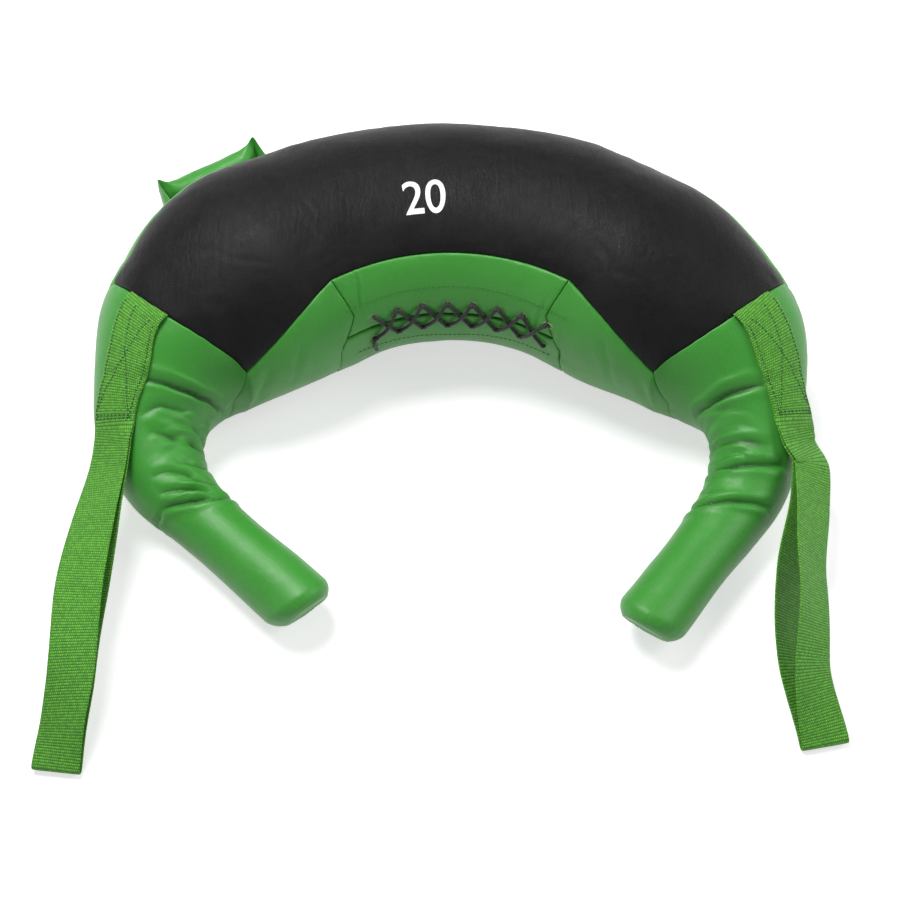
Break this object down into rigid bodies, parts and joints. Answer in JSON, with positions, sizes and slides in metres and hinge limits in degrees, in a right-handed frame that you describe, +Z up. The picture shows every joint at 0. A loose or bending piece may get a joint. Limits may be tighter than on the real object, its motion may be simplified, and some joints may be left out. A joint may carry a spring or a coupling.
{
  "type": "bulgarian bag",
  "caption": "Crescent-shaped sand-filled leather training bag that tapers into two hand grips, with webbing strap loops, side handles and a laced filling slit.",
  "frame": {"origin": "middle of the outline, straps included, on the floor that the bag lies on", "axes": "+Z up out of the flat side the bag lies on, +X to the bag's right seen from its grips, +Y away from the grips towards the crown"},
  "size_m": [0.6532, 0.6078, 0.1795],
  "materials": {
    "leather_black": "semi-gloss coated leather with a fine grain",
    "leather_green": "semi-gloss coated leather with a fine grain",
    "webbing_green": "ribbed woven webbing, matte",
    "lace_black": "woven cord, matte",
    "disc_black": "plain moulded disc",
    "padding_wool": "packed wool and foam",
    "sandbag_cloth": "plain sand-tight cloth over sand"
  },
  "bodies": {
    "bag": {"base_panel": "leather_black", "body_padding": "padding_wool", "centre_sandbag": "sandbag_cloth", "lace": "lace_black", "lacing_gusset": "leather_black", "left_handle_front_foot": "leather_green", "left_handle_rear_foot": "leather_green", "left_inner_panel": "leather_green", "left_middle_sandbag": "sandbag_cloth", "left_neck_sleeve": "leather_green", "left_neck_stuffing": "padding_wool", "left_shoulder_padding": "padding_wool", "left_shoulder_panel": "leather_green", "left_shoulder_sandbag": "sandbag_cloth", "left_strap_tab": "webbing_green", "lower_flap": "leather_green", "right_handle_front_foot": "leather_green", "right_handle_rear_foot": "leather_green", "right_inner_panel": "leather_green", "right_middle_sandbag": "sandbag_cloth", "right_neck_sleeve": "leather_green", "right_neck_stuffing": "padding_wool", "right_shoulder_padding": "padding_wool", "right_shoulder_panel": "leather_green", "right_shoulder_sandbag": "sandbag_cloth", "right_strap_tab": "webbing_green", "rim_panel": "leather_green", "top_panel": "leather_black", "upper_flap": "leather_green"},
    "left_grip": {"left_end_disc": "disc_black", "left_grip_core": "padding_wool", "left_grip_cover": "leather_green"},
    "left_strap": {"left_strap_loop": "webbing_green"},
    "left_handle": {"left_side_handle": "leather_green"},
    "right_grip": {"right_end_disc": "disc_black", "right_grip_core": "padding_wool", "right_grip_cover": "leather_green"},
    "right_strap": {"right_strap_loop": "webbing_green"},
    "right_handle": {"right_side_handle": "leather_green"}
  },
  "joints": [
    {"name": "left_grip_flex", "type": "hinge", "parent": "bag", "child": "left_grip", "pos_m": [-0.2248, -0.06153, 0.0295], "axis": [0, 0, 1], "range_deg": [-20, 20], "deforming": ["left_neck_sleeve"]},
    {"name": "right_grip_flex", "type": "hinge", "parent": "bag", "child": "right_grip", "pos_m": [0.24888, -0.06522, 0.0295], "axis": [0, 0, 1], "range_deg": [-20, 20], "deforming": ["right_neck_sleeve"]},
    {"name": "left_strap_swing", "type": "hinge", "parent": "bag", "child": "left_strap", "pos_m": [-0.28098, -0.02669, 0.08085], "axis": [-0.9121, 0.1458, -0.3831], "range_deg": [0, 110]},
    {"name": "right_strap_swing", "type": "hinge", "parent": "bag", "child": "right_strap", "pos_m": [0.29729, -0.02129, 0.08083], "axis": [-0.8818, -0.2725, 0.3849], "range_deg": [0, 110]},
    {"name": "left_handle_flop", "type": "hinge", "parent": "bag", "child": "left_handle", "pos_m": [-0.2028, 0.24086, 0.08722], "axis": [0.8352, 0.5498, 0.0105], "range_deg": [-65, 60]},
    {"name": "right_handle_flop", "type": "hinge", "parent": "bag", "child": "right_handle", "pos_m": [0.24195, 0.21556, 0.08505], "axis": [0.7525, -0.6563, -0.0552], "range_deg": [-5, 120]}
  ]
}
